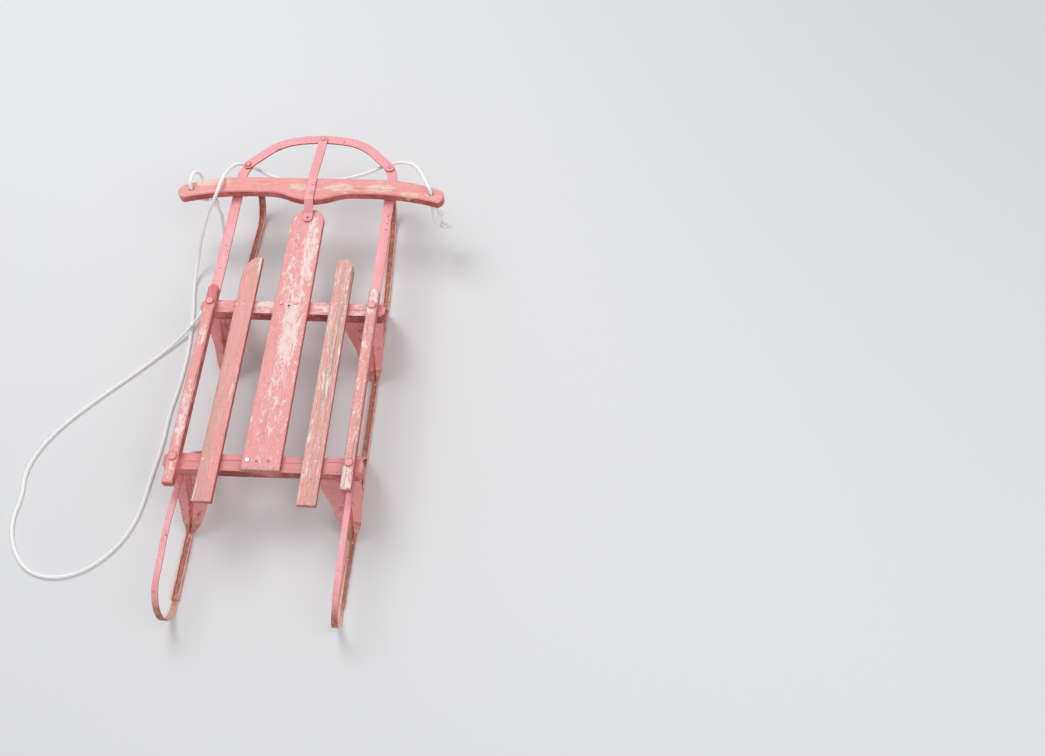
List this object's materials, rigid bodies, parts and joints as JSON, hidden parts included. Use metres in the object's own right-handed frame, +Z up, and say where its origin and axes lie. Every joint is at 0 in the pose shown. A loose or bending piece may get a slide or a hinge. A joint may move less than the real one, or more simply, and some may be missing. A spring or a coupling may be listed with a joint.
{
  "type": "steerable two-runner sled",
  "caption": "Low wooden slat sled on steel strip runners with looped ends, pressed steel knees and a front steering bar whose strap and bow flex the runner fronts sideways",
  "frame": {"origin": "on the ground under the middle of the sled, half way between the rear loops and the bow", "axes": "+X to the rider's right, +Y forward towards the bow, +Z up"},
  "size_m": [0.7416, 0.972, 0.1694],
  "materials": {
    "red_wood": "old red paint faded to pink, worn to grey wood on the edges",
    "red_steel": "old red paint faded to pink over flat steel, rusty at edges and loops",
    "bolt_steel": "rusty bolt and rivet heads with paint left on them",
    "cord": "white braided cord, slightly fuzzy"
  },
  "bodies": {
    "sled": {"centre_board": "red_wood", "front_bench": "red_wood", "rear_bench": "red_wood", "tongue_bolt": "bolt_steel", "rope_on_ground": "cord", "left_slat": "red_wood", "left_rail": "red_wood", "left_runner": "red_steel", "left_arm_root": "red_steel", "left_front_knee": "red_steel", "left_rear_knee": "red_steel", "left_front_bolt": "bolt_steel", "left_rear_bolt": "bolt_steel", "right_slat": "red_wood", "right_rail": "red_wood", "right_runner": "red_steel", "right_arm_root": "red_steel", "right_front_knee": "red_steel", "right_rear_knee": "red_steel", "right_front_bolt": "bolt_steel", "right_rear_bolt": "bolt_steel"},
    "left_front": {"left_arm": "red_steel", "left_runner_front": "red_steel", "left_bow_rivet": "bolt_steel"},
    "right_front": {"right_arm": "red_steel", "right_runner_front": "red_steel", "right_bow_rivet": "bolt_steel"},
    "front_bow": {"bow": "red_steel", "bow_pin": "bolt_steel"},
    "steering_lever": {"steering_bar": "red_wood", "strap": "red_steel", "rope_on_bar": "cord", "rope_left_loop": "cord", "rope_right_knots": "cord", "rope_left_knot": "cord"}
  },
  "joints": [
    {"name": "steer", "type": "hinge", "parent": "sled", "child": "steering_lever", "pos_m": [0, 0.271, 0.138], "axis": [0, 0, 1], "range_deg": [-10, 10], "stiffness_Nm_per_rad": 8, "deforming": ["rope_on_ground"]},
    {"name": "left_flex", "type": "hinge", "parent": "sled", "child": "left_front", "pos_m": [-0.14096, 0.18, 0.12], "axis": [0, 0, 1], "range_deg": [-9.03, 9.03]},
    {"name": "right_flex", "type": "hinge", "parent": "sled", "child": "right_front", "pos_m": [0.14096, 0.18, 0.12], "axis": [0, 0, 1], "range_deg": [-9.03, 9.03]},
    {"name": "bow_pivot", "type": "hinge", "parent": "left_front", "child": "front_bow", "pos_m": [-0.14096, 0.406, 0.131], "axis": [0, 0, 1], "range_deg": [-9.03, 9.03]}
  ],
  "couplings": [
    {"joint": "left_flex", "follows": "steer", "ratio": 0.8982},
    {"joint": "right_flex", "follows": "steer", "ratio": 0.8982},
    {"joint": "bow_pivot", "follows": "steer", "ratio": -0.8982}
  ]
}
